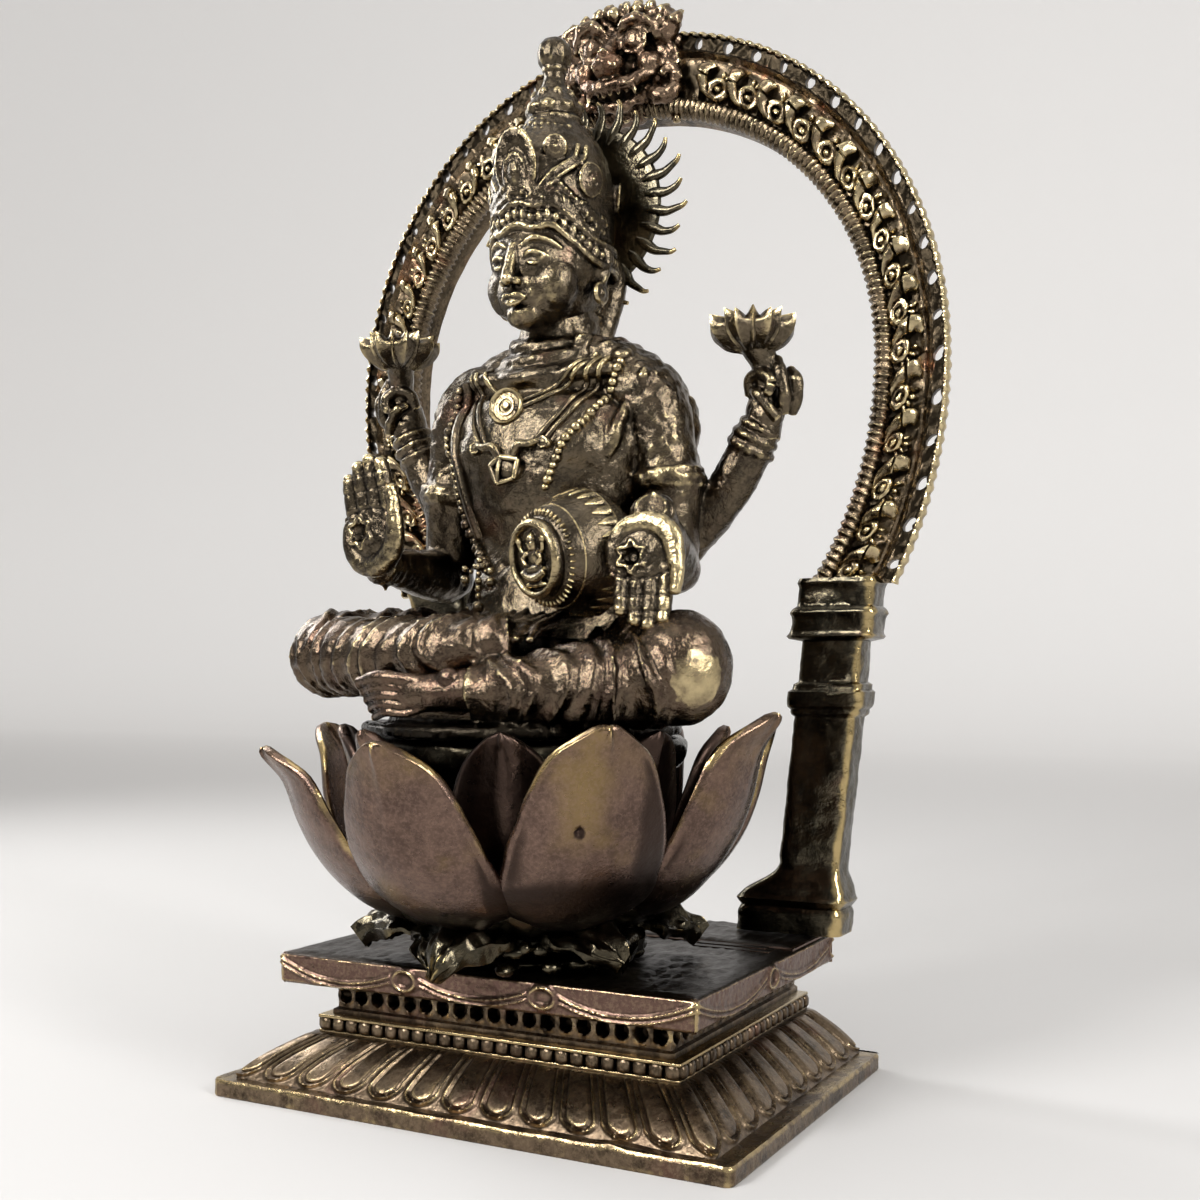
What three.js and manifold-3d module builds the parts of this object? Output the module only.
// Seated goddess on an open lotus, under an arch on pillars, on a stepped plinth.
// Millimetres. X runs to the figure's left, Y to the back, Z up. The origin is under the plate.
import * as THREE from 'three';
import { mergeVertices } from 'three/addons/utils/BufferGeometryUtils.js';
import Module from 'manifold-3d';

const wasm = await Module();
wasm.setup();

// Overall fits
const pieceGap = 0.3;
const bury = 0.6;
const weldStep = 1e-4;

// Plate and moulding
const plateWidth = 70;
const plateDepth = 51;
const plateHeight = 2.1;
const plateCorner = 1.2;
const mouldingTop = 7.1;
const mouldingFootHalf = 32.7;
const mouldingHeadHalf = 25.4;
const mouldingFootFront = -23.9;
const mouldingHeadFront = -17;
const plinthRear = 24.5;
const mouldingSwell = 0.9;
const mouldingLevels = 3;

// Lotus tongues on the moulding
const frontTongues = 12;
const sideTongues = 6;
const tongueRise = 0.45;
const tongueWidthShare = 0.74;
const tongueStart = 0.1;
const tongueEnd = 0.86;
const cornerMargin = 3.4;

// Bead course, recess and slab
const beadHalf = 25.15;
const beadFront = -16.7;
const beadTop = 9.3;
const recessHalf = 23.3;
const recessFront = -15.1;
const slabBottom = 13.55;
const slabTop = 17.3;
const slabHalf = 28.7;
const slabFront = -20.1;
const slabEase = 0.5;
const stepFront = 10.5;
const stepTop = 17.8;
const stepInset = 0.4;

// Pillars
const pillarFront = 18.7;
const pillarRear = 24.15;
const pillarWidth = 8.4;
const pillarFootX = 26.3;
const pillarLean = 0.118;
const footBottom = stepTop + pieceGap;
const footTop = 22.6;
const footSweepTop = 27.5;
const footInnerSpread = 4.9;
const footOuterSpread = 1.3;
const footFrontSpread = 1.1;
const ringLow = 46.8;
const ringHigh = 51.2;
const ringSpread = 0.9;
const capitalLow = 56.8;
const capitalMiddle = 61.2;
const capitalTop = 65;
const capitalSpread = 1.7;
const capitalNeckSpread = 1.1;

// Arch
const archRear = 24.2;
const archCentre = 95;
const archInnerHalf = 36.7;
const archInnerRise = 37.2;
const archInnerDrop = 46;
const archOuterHalf = 46.8;
const archOuterRise = 50.4;
const archOuterDrop = 57.4;
const archSpring = 64.2;
const archSteps = 20;
const ropeShare = 0.13;
const fieldEndShare = 0.68;
const ridgeEndShare = 0.77;
const rimShare = 0.92;
const stripFront = 20.9;
const stripRear = 22.9;
const fieldFront = 20.3;
const ropeFront = 18.9;
const ridgeFront = 19.4;
const holesEachSide = 21;
const holeShare = 0.855;
const holeHalfWidth = 0.5;
const holeHalfLength = 0.85;
const leavesEachSide = 19;
const leafShare = 0.4;
const leafHalf = 1.9;
const leafRise = 2.3;
const maskHalf = 9.2;
const maskBottom = 131.4;
const maskTop = 149.6;

// Lotus
const lotusY = -6.6;
const outerPetals = 8;
const petalReach = 33.5;
const petalThickness = 1.3;
const petalWidth = 17.4;
const petalCup = 2.1;
const petalTips = [45.1, 46.9, 48.2, 46.4, 46, 46.4, 46, 43.9];
const rearPetalShare = 0.84;
const innerReachShare = 0.75;
const innerPetalWidth = 13.6;
const innerTip = 45.9;
const sepals = 6;
const sepalReach = 21.4;
const sepalWidth = 9;
const sepalDrop = 17.4;
const sepalTop = 22.4;
const sepalRoot = 5;
const sepalThickness = 1.3;
const sepalRidge = 1.3;
const coreBottom = slabTop + pieceGap;
const coreTop = 44.6;
const coreTopRadius = 19.6;

// Figure
const seatBottom = coreTop + pieceGap;
const seatTop = 46.4;
const seatHalf = 19.8;
const headTurn = -0.1;
const headCentre = [0, -1.2, 105];
const crownBase = 110.2;
const crownRadius = 8;
const crownDepthShare = 1.08;
const haloCentre = [0, 7, 115.3];
const haloRadius = 11.4;
const haloTip = 15.1;
const haloThickness = 1.3;
const haloRays = 28;
const flowerPetals = 8;
const flowerRadius = 6.1;
const rightFolds = 5;
const leftFolds = 5;
const foldRise = 0.7;
const potMouth = [7.6, -18.2, 65.7];
const potTurn = -0.35;
const potTilt = 0.16;
const palmLength = 6.8;
const palmWidth = 7.2;
const palmThickness = 2;
const palmRoot = 1.8;
const fingerLengths = [5.6, 6.6, 6.4, 5];
const fingerRadius = 0.86;

const vec = (p) => new THREE.Vector3(p[0], p[1], p[2]);
const zAxis = new THREE.Vector3(0, 0, 1);

// Value of an evenly spaced list of shares at t between 0 and 1.
function share(list, t) {
  if (typeof list === 'number') {
    return list;
  }
  const spot = Math.min(Math.max(t, 0), 1) * (list.length - 1);
  const low = Math.min(Math.floor(spot), list.length - 2);
  return list[low] + (list[low + 1] - list[low]) * (spot - low);
}

// Moves every vertex of a closed geometry to the place that a function gives for it.
function remap(geometry, place) {
  const spots = geometry.attributes.position;
  for (let i = 0; i < spots.count; i += 1) {
    const p = place(spots.getX(i), spots.getY(i), spots.getZ(i));
    spots.setXYZ(i, p.x, p.y, p.z);
  }
  return geometry;
}

// Turns a closed geometry into a solid with its faces outwards.
function solid(geometry) {
  geometry.deleteAttribute('normal');
  geometry.deleteAttribute('uv');
  const welded = mergeVertices(geometry, weldStep);
  const spots = welded.attributes.position;
  const order = welded.index.array;
  const faces = [];
  const a = new THREE.Vector3();
  const b = new THREE.Vector3();
  const c = new THREE.Vector3();
  let volume = 0;
  for (let i = 0; i < order.length; i += 3) {
    const [p, q, r] = [order[i], order[i + 1], order[i + 2]];
    if (p !== q && q !== r && r !== p) {
      faces.push([p, q, r]);
      a.fromBufferAttribute(spots, p);
      b.fromBufferAttribute(spots, q);
      c.fromBufferAttribute(spots, r);
      volume += a.dot(b.cross(c));
    }
  }
  const outward = volume < 0 ? faces.map(([p, q, r]) => [p, r, q]) : faces;
  return new wasm.Manifold(new wasm.Mesh({
    numProp: 3,
    vertProperties: new Float32Array(spots.array),
    triVerts: Uint32Array.from(outward.flat()),
  }));
}

const join = (pieces) => pieces.reduce((whole, piece) => whole.add(piece));

function block(size, centre) {
  return solid(new THREE.BoxGeometry(...size).translate(...centre));
}

function ball(centre, radii, sides = 8, rings = 6) {
  const sphere = new THREE.SphereGeometry(1, sides, rings).rotateX(Math.PI / 2);
  return solid(sphere.scale(...radii).translate(...centre));
}

// Body of changing oval section along a smooth path; facing sets the way its width lies.
function limb({ path, wide, deep = wide, sides = 8, rings = 4, facing = [0, 0, 1] }) {
  const curve = new THREE.CatmullRomCurve3(path.map(vec), false, 'centripetal');
  return solid(remap(new THREE.CylinderGeometry(1, 1, 1, sides, rings), (x, y, z) => {
    const t = Math.min(Math.max(y + 0.5, 0), 1);
    const along = curve.getTangentAt(t);
    const across = vec(facing).addScaledVector(along, -vec(facing).dot(along)).normalize();
    const third = across.clone().cross(along);
    return curve.getPointAt(t)
      .addScaledVector(across, x * share(wide, t))
      .addScaledVector(third, z * share(deep, t));
  }));
}

// Turned body from a profile of radius and height that starts and ends on the axis.
function turned(profile, sides) {
  const points = profile.map(([r, z]) => new THREE.Vector2(r, z));
  return new THREE.LatheGeometry(points, sides).rotateX(Math.PI / 2);
}

function finish(name, body, material) {
  const made = body.getMesh();
  const geometry = new THREE.BufferGeometry();
  geometry.setAttribute('position', new THREE.Float32BufferAttribute(made.vertProperties, 3));
  geometry.setIndex(new THREE.Uint32BufferAttribute(made.triVerts, 1));
  const flat = geometry.toNonIndexed();
  flat.computeVertexNormals();
  const mesh = new THREE.Mesh(flat, material);
  mesh.name = name;
  return mesh;
}

// Plinth

// Half-width and front face of the moulding at a share of its height.
function mouldingAt(t) {
  const swell = mouldingSwell * Math.sin(Math.PI * t);
  return {
    half: mouldingFootHalf + (mouldingHeadHalf - mouldingFootHalf) * t + swell,
    front: mouldingFootFront + (mouldingHeadFront - mouldingFootFront) * t - swell,
    z: plateHeight + (mouldingTop - plateHeight) * t,
  };
}

function buildMoulding() {
  const core = new THREE.BoxGeometry(1, 1, 1, 1, 1, mouldingLevels);
  return solid(remap(core, (x, y, z) => {
    const level = mouldingAt(z + 0.5);
    const low = z < -0.49 ? bury : 0;
    const high = z > 0.49 ? bury : 0;
    return new THREE.Vector3(x * 2 * level.half, y < 0 ? level.front : plinthRear, level.z - low + high);
  }));
}

// One tongue with a round lower end, laid on the front or on a side of the moulding.
function tongue(side, place, width) {
  const shell = new THREE.BoxGeometry(1, 1, 1, 1, 2, 1);
  return solid(remap(shell, (x, y, z) => {
    const t = tongueEnd + (tongueStart - tongueEnd) * (0.5 - y);
    const narrow = y < -0.4 ? 0.45 : 1;
    const level = mouldingAt(t);
    const fan = side === 0 ? level.half / mouldingAt(0.5).half : 1;
    const across = place * fan + x * width * narrow * fan;
    const lift = z > 0 ? tongueRise : -bury;
    if (side === 0) {
      return new THREE.Vector3(across, level.front - lift, level.z + lift * 0.4);
    }
    return new THREE.Vector3(side * (level.half + lift), across, level.z + lift * 0.4);
  }));
}

function buildPlinth() {
  const halfW = plateWidth / 2;
  const halfD = plateDepth / 2;
  const outline = new THREE.Shape();
  outline.moveTo(-halfW + plateCorner, -halfD);
  outline.lineTo(halfW - plateCorner, -halfD);
  outline.quadraticCurveTo(halfW, -halfD, halfW, -halfD + plateCorner);
  outline.lineTo(halfW, halfD - plateCorner);
  outline.quadraticCurveTo(halfW, halfD, halfW - plateCorner, halfD);
  outline.lineTo(-halfW + plateCorner, halfD);
  outline.quadraticCurveTo(-halfW, halfD, -halfW, halfD - plateCorner);
  outline.lineTo(-halfW, -halfD + plateCorner);
  outline.quadraticCurveTo(-halfW, -halfD, -halfW + plateCorner, -halfD);
  const plate = { depth: plateHeight, bevelEnabled: false, curveSegments: 2 };
  const pieces = [solid(new THREE.ExtrudeGeometry(outline, plate)), buildMoulding()];

  const middle = mouldingAt(0.5);
  const frontPitch = 2 * (middle.half - cornerMargin) / frontTongues;
  for (let i = 0; i < frontTongues; i += 1) {
    const place = (i - (frontTongues - 1) / 2) * frontPitch;
    pieces.push(tongue(0, place, frontPitch * tongueWidthShare));
  }
  const sideFront = middle.front + cornerMargin;
  const sidePitch = (plinthRear - sideFront) / sideTongues;
  for (const side of [-1, 1]) {
    for (let i = 0; i < sideTongues; i += 1) {
      pieces.push(tongue(side, sideFront + (i + 0.5) * sidePitch, sidePitch * tongueWidthShare));
    }
  }

  const courseDepth = plinthRear - beadFront;
  const courseHeight = beadTop - mouldingTop + bury;
  const courseY = (plinthRear + beadFront) / 2;
  pieces.push(block([beadHalf * 2, courseDepth, courseHeight], [0, courseY, beadTop - courseHeight / 2]));
  const recessHeight = slabBottom - beadTop + 2 * bury;
  const recessY = (plinthRear + recessFront) / 2;
  pieces.push(block(
    [recessHalf * 2, plinthRear - recessFront, recessHeight],
    [0, recessY, beadTop - bury + recessHeight / 2],
  ));

  const slab = new THREE.BoxGeometry(1, 1, 1, 1, 1, 3);
  pieces.push(solid(remap(slab, (x, y, z) => {
    const inset = Math.abs(z) > 0.3 ? slabEase : 0;
    const level = z + 0.5;
    const height = Math.abs(z) > 0.3 ? level : 0.5 + z * 2.1;
    return new THREE.Vector3(
      x * 2 * (slabHalf - inset),
      y < 0 ? slabFront + inset : plinthRear,
      slabBottom + (slabTop - slabBottom) * height,
    );
  })));
  const stepHeight = stepTop - slabTop + bury;
  pieces.push(block(
    [2 * (slabHalf - stepInset), plinthRear - stepFront, stepHeight],
    [0, (plinthRear + stepFront) / 2, stepTop - stepHeight / 2],
  ));
  return join(pieces);
}

// Arch

// Point on the arch at an angle from the top, with a share of the way from inner to outer edge.
function archPoint(angle, across) {
  const rising = Math.cos(angle) > 0;
  const inner = rising ? archInnerRise : archInnerDrop;
  const outer = rising ? archOuterRise : archOuterDrop;
  const half = archInnerHalf + (archOuterHalf - archInnerHalf) * across;
  const rise = inner + (outer - inner) * across;
  return new THREE.Vector2(half * Math.sin(angle), archCentre + rise * Math.cos(angle));
}

// Angle at which a line of the arch meets the height of the capitals.
function springAngle(across) {
  const rise = archInnerDrop + (archOuterDrop - archInnerDrop) * across;
  return Math.acos((archSpring - archCentre) / rise);
}

// Band of the arch with one front depth for each station across its width.
function archBand(stations, fronts, rear) {
  const shell = new THREE.BoxGeometry(1, 1, 1, archSteps, stations.length - 1, 1);
  return solid(remap(shell, (x, y, z) => {
    const across = share(stations, y + 0.5);
    const spot = archPoint(x * 2 * springAngle(across), across);
    return new THREE.Vector3(spot.x, z < 0 ? share(fronts, y + 0.5) : rear, spot.y);
  }));
}

function piercedStrip() {
  const outline = new THREE.Shape();
  const from = ridgeEndShare - 0.04;
  for (let i = 0; i <= archSteps; i += 1) {
    const spot = archPoint((i / archSteps - 0.5) * 2 * springAngle(1), 1);
    if (i === 0) {
      outline.moveTo(spot.x, spot.y);
    } else {
      outline.lineTo(spot.x, spot.y);
    }
  }
  for (let i = archSteps; i >= 0; i -= 1) {
    const spot = archPoint((i / archSteps - 0.5) * 2 * springAngle(from), from);
    outline.lineTo(spot.x, spot.y);
  }
  outline.closePath();
  const span = springAngle(holeShare) * 0.975;
  for (let i = 0; i < holesEachSide * 2; i += 1) {
    const angle = ((i + 0.5) / (holesEachSide * 2) - 0.5) * 2 * span;
    const spot = archPoint(angle, holeShare);
    if (Math.abs(spot.x) < maskHalf - 1) {
      continue;
    }
    const ahead = archPoint(angle + 0.02, holeShare).sub(spot).normalize();
    const aside = new THREE.Vector2(-ahead.y, ahead.x);
    const hole = new THREE.Path();
    const corner = (along, over) => spot.clone().addScaledVector(ahead, along).addScaledVector(aside, over);
    const corners = [
      corner(-holeHalfLength, 0),
      corner(0, -holeHalfWidth),
      corner(holeHalfLength, 0),
      corner(0, holeHalfWidth),
    ];
    hole.setFromPoints([...corners, corners[0]]);
    outline.holes.push(hole);
  }
  const depth = stripRear - stripFront;
  const plate = new THREE.ExtrudeGeometry(outline, { depth, bevelEnabled: false });
  return solid(plate.rotateX(Math.PI / 2).translate(0, stripRear, 0));
}

// Hooked leaf with a boss, standing out of the field of the arch.
function archLeaf(angle) {
  const spot = archPoint(angle, leafShare);
  const leaf = new THREE.ConeGeometry(leafHalf * 1.25, leafRise + bury, 4);
  leaf.rotateX(Math.PI).rotateY(-angle);
  return solid(leaf.translate(spot.x, fieldFront - (leafRise - bury) / 2, spot.y));
}

// Pillar body between two levels, with spreads beyond the shaft on each side.
function pillarPart(side, low, high, lowSpread, highSpread) {
  const core = new THREE.BoxGeometry(1, 1, 1);
  return solid(remap(core, (x, y, z) => {
    const height = z < 0 ? low : high;
    const spread = z < 0 ? lowSpread : highSpread;
    const centre = pillarFootX + pillarLean * (height - footBottom);
    const reach = x < 0 ? -(pillarWidth / 2 + spread[0]) : pillarWidth / 2 + spread[1];
    const face = y < 0 ? pillarFront - spread[2] : pillarRear;
    return new THREE.Vector3(side * (centre + reach), face, height);
  }));
}

function buildPillar(side) {
  const plain = [0, 0, 0];
  const foot = [footInnerSpread, footOuterSpread, footFrontSpread];
  const midFoot = [footInnerSpread * 0.25, footOuterSpread * 0.3, footFrontSpread * 0.3];
  const banded = [ringSpread, ringSpread, ringSpread];
  const capital = [capitalSpread, capitalSpread, capitalSpread];
  const neck = [capitalNeckSpread, capitalNeckSpread, capitalNeckSpread];
  const footWaist = (footTop + footSweepTop) / 2 + 0.4;
  return join([
    pillarPart(side, footBottom, footTop, foot, foot),
    pillarPart(side, footTop - 0.01, footWaist, foot, midFoot),
    pillarPart(side, footWaist - 0.01, footSweepTop, midFoot, plain),
    pillarPart(side, footSweepTop - 0.01, capitalLow + bury, plain, plain),
    pillarPart(side, ringLow, ringHigh, banded, banded),
    pillarPart(side, capitalLow, capitalMiddle, capital, capital),
    pillarPart(side, capitalMiddle - 0.01, capitalTop, neck, neck),
  ]);
}

// Lion mask with a crest, brows, snout and scrolled horns at the top of the arch.
function buildMask() {
  const middle = (maskBottom + maskTop) / 2;
  const pieces = [
    ball([0, 20, middle], [maskHalf * 0.7, 5, 7.4], 8, 4),
    ball([0, 15.8, middle - 1.5], [3.2, 2.8, 2.6], 6, 4),
    limb({
      path: [[0, 19, maskTop - 5], [0, 19.4, maskTop]],
      wide: [2.8, 0.9],
      sides: 6,
      rings: 1,
      facing: [1, 0, 0],
    }),
    limb({
      path: [[0, 20.4, archCentre + archInnerRise + 1], [0, 19.6, archCentre + archInnerRise - 1.6]],
      wide: [1.3, 0.5],
      sides: 5,
      rings: 1,
      facing: [1, 0, 0],
    }),
  ];
  for (const side of [-1, 1]) {
    pieces.push(ball([side * 3.4, 16.4, middle + 2.1], [1.7, 1.5, 1.6], 6, 4));
    pieces.push(limb({
      path: [
        [side * 3.4, 18.4, middle + 3.6],
        [side * 6.6, 18, middle + 5.1],
        [side * maskHalf, 18.6, middle + 1.6],
      ],
      wide: [1.9, 1.7, 0.9],
      sides: 5,
      rings: 2,
      facing: [0, 1, 0],
    }));
    pieces.push(limb({
      path: [
        [side * 3.6, 18, middle - 4],
        [side * 7.8, 18.2, middle - 5.4],
        [side * (maskHalf + 0.2), 18.8, middle - 2.6],
      ],
      wide: [2.2, 1.6, 0.9],
      sides: 5,
      rings: 2,
      facing: [0, 1, 0],
    }));
  }
  return join(pieces);
}

function buildArch() {
  const pieces = [
    archBand(
      [0, ropeShare, ropeShare + 0.02, fieldEndShare, fieldEndShare + 0.02, ridgeEndShare],
      [ropeFront, ropeFront, fieldFront, fieldFront, ridgeFront, ridgeFront],
      archRear,
    ),
    archBand([rimShare, 1.02], [stripFront - 0.5, stripFront - 0.5], stripRear + 0.5),
    piercedStrip(),
    buildPillar(-1),
    buildPillar(1),
    buildMask(),
  ];
  const span = springAngle(leafShare) * 0.965;
  const masked = 0.2;
  for (const side of [-1, 1]) {
    for (let i = 0; i < leavesEachSide; i += 1) {
      pieces.push(archLeaf(side * (masked + (span - masked) * (i + 0.5) / leavesEachSide)));
    }
  }
  return join(pieces);
}

// Lotus

// Petal curved up and out from the base, with a cupped back and a pointed, slightly rolled tip.
function petal({ turn, reach, tip, width, thickness, cup, across = 4, along = 5 }) {
  const base = coreBottom + 2.4;
  const rise = tip - base;
  const out = [0.26, 0.47, 0.7, 0.81, 0.9, 0.95, 1];
  const up = [0, 0.07, 0.23, 0.42, 0.64, 0.84, 1];
  const spread = [0.36, 0.68, 0.96, 1, 0.88, 0.58, 0.1];
  const around = [Math.sin(turn), -Math.cos(turn), 0];
  const aside = new THREE.Vector3(Math.cos(turn), Math.sin(turn), 0);
  const outward = vec(around);
  const shell = new THREE.BoxGeometry(1, 1, 1, across, along, 1);
  return solid(remap(shell, (x, y, z) => {
    const t = y + 0.5;
    const step = 0.02;
    const runs = (share(out, t + step) - share(out, t - step)) * reach;
    const lifts = (share(up, t + step) - share(up, t - step)) * rise;
    const normal = outward.clone().multiplyScalar(lifts).addScaledVector(zAxis, -runs).normalize();
    const bend = cup * share(spread, t) * 4 * x * x;
    return new THREE.Vector3(0, lotusY, base + rise * share(up, t))
      .addScaledVector(outward, reach * share(out, t))
      .addScaledVector(aside, x * width * share(spread, t))
      .addScaledVector(normal, -bend + (z - 0.5) * thickness);
  }));
}

// Sepal that comes out under the petals and droops to the slab.
function sepal(turn, drop) {
  const shell = new THREE.BoxGeometry(1, 1, 1, 2, 1, 1);
  const outward = new THREE.Vector3(Math.sin(turn), -Math.cos(turn), 0);
  const aside = new THREE.Vector3(Math.cos(turn), Math.sin(turn), 0);
  const high = [sepalTop, drop];
  const spread = [1, 0.14];
  return solid(remap(shell, (x, y, z) => {
    const t = y + 0.5;
    const ridge = sepalRidge * (1 - Math.abs(2 * x)) * share([1, 0.3], t);
    return new THREE.Vector3(0, lotusY, share(high, t) + ridge + (z - 0.5) * sepalThickness)
      .addScaledVector(outward, sepalRoot + (sepalReach - sepalRoot) * t)
      .addScaledVector(aside, x * sepalWidth * share(spread, t));
  }));
}

function buildLotus() {
  const core = turned([
    [0, coreBottom],
    [11, coreBottom],
    [9.6, coreBottom + 2.2],
    [14.6, coreBottom + 4.2],
    [19, coreBottom + 7.6],
    [16.6, coreBottom + 11],
    [16.6, coreTop - 5],
    [coreTopRadius, coreTop - 1],
    [coreTopRadius, coreTop],
    [0, coreTop],
  ], 10).translate(0, lotusY, 0);
  const pieces = [solid(core)];
  for (let i = 0; i < outerPetals; i += 1) {
    const turn = i * 2 * Math.PI / outerPetals;
    const rear = i === outerPetals / 2;
    pieces.push(petal({
      turn,
      reach: petalReach * (rear ? rearPetalShare : 1),
      tip: petalTips[i],
      width: petalWidth,
      thickness: petalThickness,
      cup: petalCup,
    }));
    pieces.push(petal({
      turn: turn + Math.PI / outerPetals,
      reach: petalReach * innerReachShare,
      tip: innerTip,
      width: innerPetalWidth,
      thickness: petalThickness * 1.2,
      cup: petalCup,
      across: 2,
      along: 3,
    }));
  }
  for (let i = 0; i < sepals; i += 1) {
    pieces.push(sepal(i * 2 * Math.PI / sepals, i === 0 ? sepalDrop : stepTop + pieceGap + sepalThickness));
  }
  return join(pieces);
}

// Figure

// Open hand with a palm, four fingers and a thumb; up is the way of the fingers.
function openHand({ wrist, up, side, out }) {
  const u = vec(up).normalize();
  const s = vec(side).normalize();
  const n = vec(out).normalize();
  const at = (along, over, forward) => vec(wrist)
    .addScaledVector(u, along).addScaledVector(s, over).addScaledVector(n, forward).toArray();
  const pieces = [limb({
    path: [at(-0.4, 0, 0), at(palmLength, 0, 0.1)],
    wide: [palmWidth * 0.28, palmWidth * 0.5, palmWidth * 0.5],
    deep: palmThickness / 2,
    sides: 6,
    rings: 2,
    facing: side,
  })];
  fingerLengths.forEach((length, i) => {
    const over = (1.5 - i) * palmWidth * 0.245;
    pieces.push(limb({
      path: [at(palmLength - bury, over, 0), at(palmLength + length, over, 0.5)],
      wide: [fingerRadius, fingerRadius * 0.65],
      sides: 4,
      rings: 1,
      facing: side,
    }));
  });
  pieces.push(limb({
    path: [at(1.2, palmWidth * 0.3, 0.2), at(4, palmWidth * 0.58, 0.7), at(7.2, palmWidth * 0.62, 0.9)],
    wide: [1.2, 1.1, 0.6],
    sides: 4,
    rings: 2,
    facing: out,
  }));
  return join(pieces);
}

// Closed hand round a stem that carries an open flower.
function heldLotus({ fist, flower }) {
  const rim = 2 * flowerPetals;
  const cup = turned([[0, -4.4], [2.4, -3.2], [flowerRadius, 1], [2.4, 0], [0, 0.4]], rim);
  remap(cup, (x, y, z) => {
    const radius = Math.hypot(x, y);
    const place = Math.round(Math.atan2(y, x) / (2 * Math.PI) * rim);
    const dip = Math.abs(place) % 2 === 1 && radius > flowerRadius * 0.9;
    const pull = dip ? 0.82 : 1;
    return new THREE.Vector3(x * pull, y * pull, dip ? z - 1.5 : z);
  });
  return join([
    ball(fist, [3.4, 3.1, 3.8], 8, 4),
    limb({
      path: [fist, [(fist[0] + flower[0]) / 2, fist[1] / 2 + flower[1] / 2, flower[2] - 6],
        [flower[0], flower[1], flower[2] - 3]],
      wide: [1.2, 1.4, 1.3],
      sides: 5,
      rings: 2,
      facing: [0, 1, 0],
    }),
    solid(cup.translate(...flower)),
  ]);
}

// Shares of a leg with cloth folds standing out between plain ones.
function folded(from, to, folds) {
  const list = [];
  for (let i = 0; i <= folds * 2; i += 1) {
    const plain = from + (to - from) * i / (folds * 2);
    list.push(plain + (i % 2 === 1 ? foldRise : 0));
  }
  return list;
}

function buildLegs() {
  return join([
    limb({
      path: [[-6, 1, 53], [-16, -7, 54.6], [-24.6, -14.4, 55.2]],
      wide: [6.2, 6, 5.2],
      sides: 8,
      rings: 2,
    }),
    ball([-24.7, -14.8, 55], [5.5, 5.4, 5.3], 8, 6),
    limb({
      path: [[-26.4, -14.6, 54.6], [-13, -20.6, 54.4], [-1, -22.4, 55.2], [5, -20, 56]],
      wide: folded(4.9, 3.3, rightFolds),
      sides: 6,
      rings: rightFolds * 2,
    }),
    limb({
      path: [[6, 1, 53], [16, -6.6, 53.4], [24.2, -14, 53.2]],
      wide: [6.2, 6.2, 6],
      sides: 8,
      rings: 2,
    }),
    ball([24, -14.2, 53], [6.1, 5.9, 6.7], 8, 6),
    limb({
      path: [[25.4, -14.8, 51.6], [14, -21.4, 50.8], [4, -24.6, 50.4], [-2, -25.2, 50]],
      wide: folded(5.1, 3.1, leftFolds),
      sides: 6,
      rings: leftFolds * 2,
    }),
    limb({
      path: [[-1, -25.2, 50], [-7, -25.6, 49.6], [-13.4, -24, 49.4]],
      wide: [2.5, 2.6, 1.3],
      sides: 6,
      rings: 2,
    }),
  ]);
}

function buildTorso() {
  return join([
    ball([0, -2, 51.6], [18, 13.4, 6.6], 8, 4),
    limb({
      path: [[0, -1.6, 50], [0, -1.8, 60], [0, -0.8, 70], [-0.2, -1.4, 81], [0, 0, 88.6], [0, 0.2, 93]],
      wide: [13.5, 12.2, 10.4, 12.8, 13.6, 6],
      deep: [10.5, 9.2, 7.8, 9.4, 8.6, 4],
      sides: 8,
      rings: 6,
      facing: [1, 0, 0],
    }),
    limb({
      path: [[-0.4, -0.8, 90.6], [-0.2, -1.2, 95], [0, -0.8, 99.6]],
      wide: [7.6, 8, 6.4, 6.6, 5, 4.6],
      deep: [6.6, 7, 5.6, 5.8, 4.6, 4.4],
      sides: 8,
      rings: 5,
      facing: [1, 0, 0],
    }),
    limb({
      path: [[0, 5.4, 93], [0, 7.4, 82], [0, 6.4, 66], [0, 6.8, 50]],
      wide: [10.5, 13.5, 11, 14],
      deep: [2.4, 2.6, 2.4, 3],
      sides: 6,
      rings: 3,
      facing: [1, 0, 0],
    }),
    strand([[10.4, -4, 93], [6.6, -9.2, 84.4], [0.6, -10.8, 78.4]]),
    strand([[-11.4, -4, 91.4], [-9.2, -9.2, 83.4], [-3, -10.8, 78.4]]),
    strand([[12, -3, 92.6], [9.4, -8.4, 84.8], [3.4, -10, 77.4]]),
    strand([[-12.6, -5, 90], [-13, -8.6, 79], [-10.4, -9.8, 69], [-8.4, -12.8, 61.6]]),
    ball([-6, -5.6, 80.6], [5.2, 4.6, 4.8], 6, 4),
    ball([5.6, -5.6, 80.6], [5.2, 4.6, 4.8], 6, 4),
    ball([-2.2, -8.6, 86.4], [2.4, 2.3, 2.4], 8, 4),
    ball([-1, -9.8, 78.2], [4.2, 1.8, 1.9], 6, 4),
  ]);
}

// Necklace or garland lying on the chest.
function strand(path) {
  return limb({ path, wide: 1.1, sides: 4, rings: path.length, facing: [1, 0, 0] });
}

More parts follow.
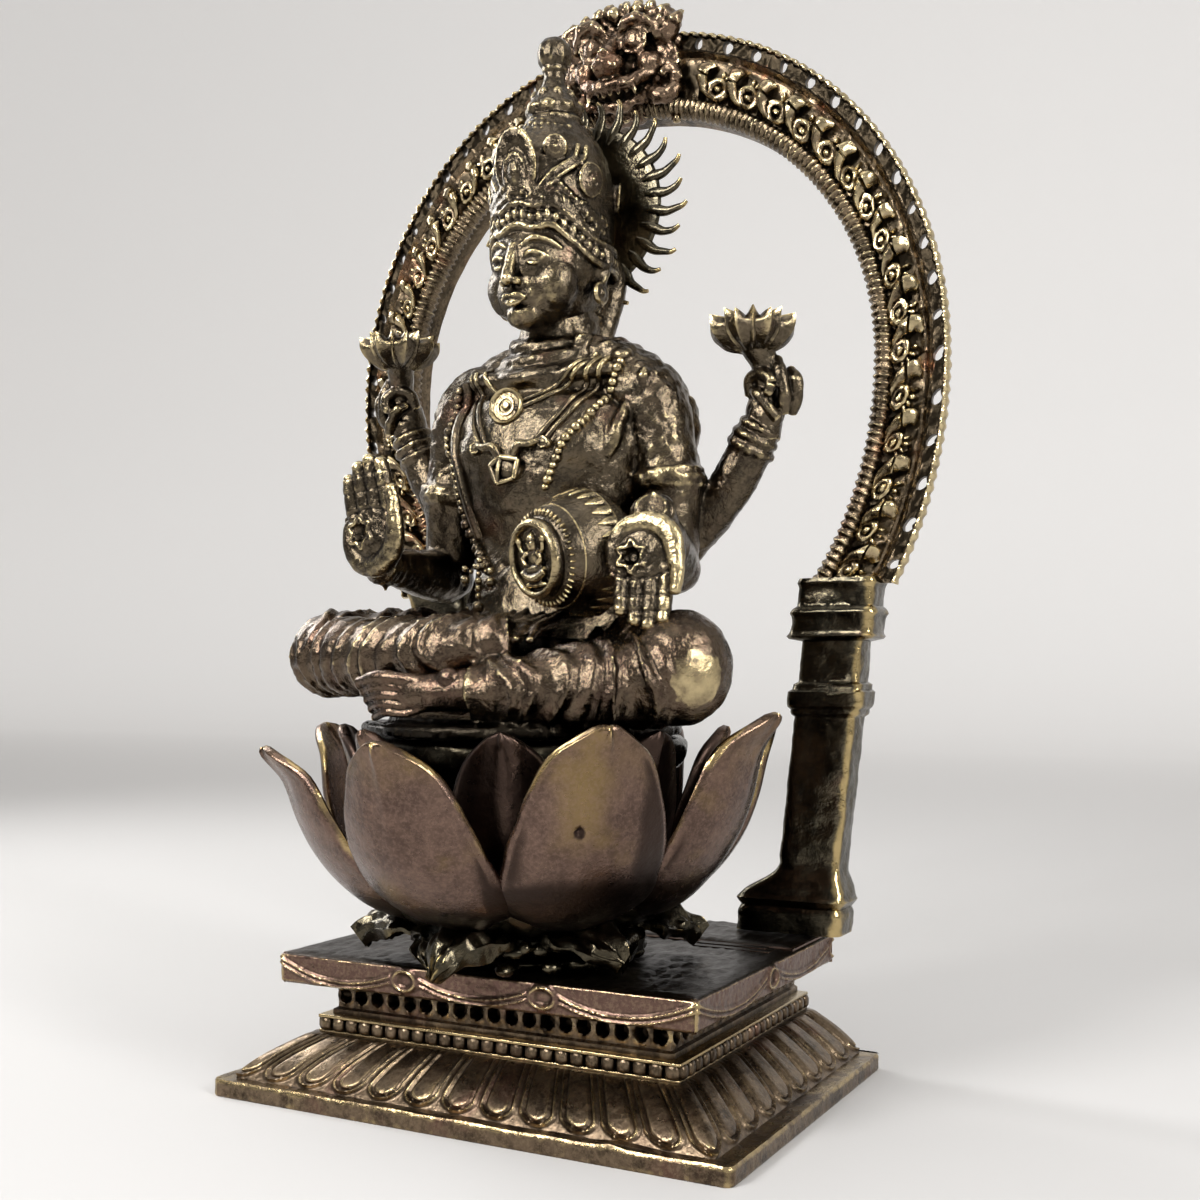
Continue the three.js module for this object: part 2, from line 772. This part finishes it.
// Front arm from inside the shoulder to the wrist and on into the palm, with an armlet and a bracelet.
function frontArm(side, elbow, wrist, palm) {
  const middle = vec(elbow).add(vec(wrist)).multiplyScalar(0.5).toArray();
  return join([
    limb({
      path: [
        [side * 7, 0.2, 90.4],
        [side * 13, -0.2, 87.6],
        [side * 15.8, 0, 78],
        [(side * 15.8 + elbow[0]) / 2, elbow[1] / 2, 71],
        [elbow[0], elbow[1], elbow[2] - 3],
      ],
      wide: [4, 5, 4.8, 4.3, 4, 4.8, 3.7, 3.4, 2.9],
      sides: 7,
      rings: 8,
      facing: [0, 1, 0],
    }),
    limb({
      path: [elbow, middle, wrist, palm],
      wide: [3.4, 3, 3.3, 2.1, 1.6],
      sides: 6,
      rings: 4,
    }),
  ]);
}

function buildFrontArms() {
  const leftWrist = [20.8, -15, 71.8];
  const rightWrist = [-18, -15.2, 66.2];
  const leftHand = [leftWrist[0] + 0.2, leftWrist[1] - 1.4, leftWrist[2]];
  const rightHand = [rightWrist[0], rightWrist[1] - 1.2, rightWrist[2] + 0.4];
  return join([
    frontArm(1, [16.7, 0, 66.8], leftWrist, [leftHand[0], leftHand[1], leftHand[2] - palmRoot]),
    openHand({
      wrist: leftHand,
      up: [0, -0.08, -1],
      side: [1, 0.1, 0],
      out: [0.1, -1, 0.05],
    }),
    frontArm(-1, [-17.3, 0.4, 66.8], rightWrist, [rightHand[0], rightHand[1], rightHand[2] + palmRoot]),
    openHand({
      wrist: rightHand,
      up: [0, -0.02, 1],
      side: [1, 0, 0],
      out: [0, -1, -0.02],
    }),
  ]);
}

function rearArm(side, lift) {
  const fist = [side * 28.6, 4.5, 86.6 + lift];
  return join([
    limb({
      path: [[side * 11, 4.6, 88], [side * 14.6, 6, 77], [side * 16, 5.6, 69.4]],
      wide: [4, 3.6, 3.1],
      sides: 6,
      rings: 2,
      facing: [0, 1, 0],
    }),
    limb({
      path: [[side * 15.2, 5.6, 69], [side * 21.8, 5.2, 75.4 + lift * 0.4], [side * 27.6, 4.7, 85 + lift]],
      wide: [3.3, 3.1, 2.9, 3.5, 3.5, 2],
      sides: 6,
      rings: 5,
      facing: [0, 1, 0],
    }),
    heldLotus({ fist, flower: [side * 26.8, 1.8, 95.6 + lift * 1.1] }),
  ]);
}

function buildHead() {
  const [hx, hy, hz] = headCentre;
  const pieces = [
    ball([hx, hy - 0.6, hz], [7.1, 8.6, 8.2], 8, 6),
    ball([hx, hy - 4, hz - 4.2], [5.2, 4.8, 4.2], 8, 5),
    limb({
      path: [[hx, hy - 8.7, hz + 2.4], [hx, hy - 9.8, hz - 0.2], [hx, hy - 9.4, hz - 1.5]],
      wide: [0.5, 0.9, 1.2],
      deep: [0.7, 1, 0.8],
      sides: 4,
      rings: 2,
      facing: [1, 0, 0],
    }),
    ball([hx, hy - 8.6, hz - 3.6], [2, 0.9, 0.7], 6, 3),
  ];
  for (const side of [-1, 1]) {
    pieces.push(ball([hx + side * 7, hy + 0.2, hz - 0.4], [0.9, 1.5, 2.6], 6, 3));
    pieces.push(ball([hx + side * 7.2, hy - 0.2, hz - 3.8], [1, 1.5, 1.5], 6, 3));
  }
  const dome = turned([
    [0, crownBase - 1.4],
    [crownRadius * 0.92, crownBase - 1.4],
    [crownRadius * 1.06, crownBase - 0.6],
    [crownRadius * 1.06, crownBase + 1],
    [crownRadius * 0.96, crownBase + 1.6],
    [crownRadius * 0.94, crownBase + 6],
    [crownRadius * 0.8, crownBase + 11],
    [crownRadius * 0.42, crownBase + 15],
    [1.8, crownBase + 15.8],
    [2.6, crownBase + 17.8],
    [1.5, crownBase + 19.6],
    [2.2, crownBase + 22.4],
    [0, crownBase + 26.6],
  ], 9);
  pieces.push(solid(dome.scale(1, crownDepthShare, 1).translate(hx, hy + 0.2, 0)));
  pieces.push(ball([hx, hy - crownRadius * 0.94, crownBase + 6.6], [2.2, 1.3, 3.6], 6, 4));
  for (const side of [-1, 1]) {
    pieces.push(ball([hx + side * 5.4, hy - crownRadius * 0.66, crownBase + 5], [2, 1.4, 2], 6, 4));
  }
  return join(pieces).translate([-hx, -hy, 0]).rotate([0, 0, THREE.MathUtils.radToDeg(headTurn)])
    .translate([hx, hy, 0]);
}

function buildHalo() {
  const outline = new THREE.Shape();
  const pitch = 2 * Math.PI / haloRays;
  for (let i = 0; i < haloRays; i += 1) {
    const root = i * pitch;
    const tip = root + pitch * 0.72;
    const dip = [haloRadius * Math.sin(root), haloRadius * Math.cos(root)];
    if (i === 0) {
      outline.moveTo(...dip);
    } else {
      outline.lineTo(...dip);
    }
    outline.lineTo(haloTip * Math.sin(tip), haloTip * Math.cos(tip));
  }
  outline.closePath();
  const disc = new THREE.ExtrudeGeometry(outline, { depth: haloThickness, bevelEnabled: false });
  disc.rotateX(Math.PI / 2).translate(haloCentre[0], haloCentre[1] + haloThickness, haloCentre[2]);
  const boss = limb({
    path: [[0, 1, haloCentre[2] - 4], [0, haloCentre[1] + 0.4, haloCentre[2] - 2]],
    wide: [6.6, 5.6],
    sides: 8,
    rings: 1,
  });
  return solid(disc).add(boss);
}

function buildPot() {
  const body = turned([
    [0, 0],
    [4.9, 0],
    [5.4, 0.8],
    [5, 1.6],
    [6.6, 3.2],
    [7.6, 6.4],
    [7, 9.6],
    [4.6, 12],
    [0, 12.6],
  ], 12);
  body.rotateX(-Math.PI / 2).rotateX(potTilt).rotateZ(potTurn);
  return solid(body.translate(...potMouth));
}

function buildFigure() {
  const seat = new THREE.CylinderGeometry(seatHalf, seatHalf * 0.94, seatTop - seatBottom, 14);
  seat.rotateX(Math.PI / 2).translate(0, lotusY - 2.2, (seatTop + seatBottom) / 2);
  return join([
    solid(seat),
    buildTorso(),
    buildLegs(),
    buildFrontArms(),
    rearArm(1, 0),
    rearArm(-1, 2.8),
    buildHead(),
    buildHalo(),
    buildPot(),
  ]);
}

const bronze = new THREE.MeshStandardMaterial({ color: 0x5a4632, roughness: 0.42, metalness: 0.9 });

const group = new THREE.Group();
group.add(finish('plinth', buildPlinth(), bronze));
group.add(finish('lotus', buildLotus(), bronze));
group.add(finish('arch', buildArch(), bronze));
group.add(finish('figure', buildFigure(), bronze));

export default group;
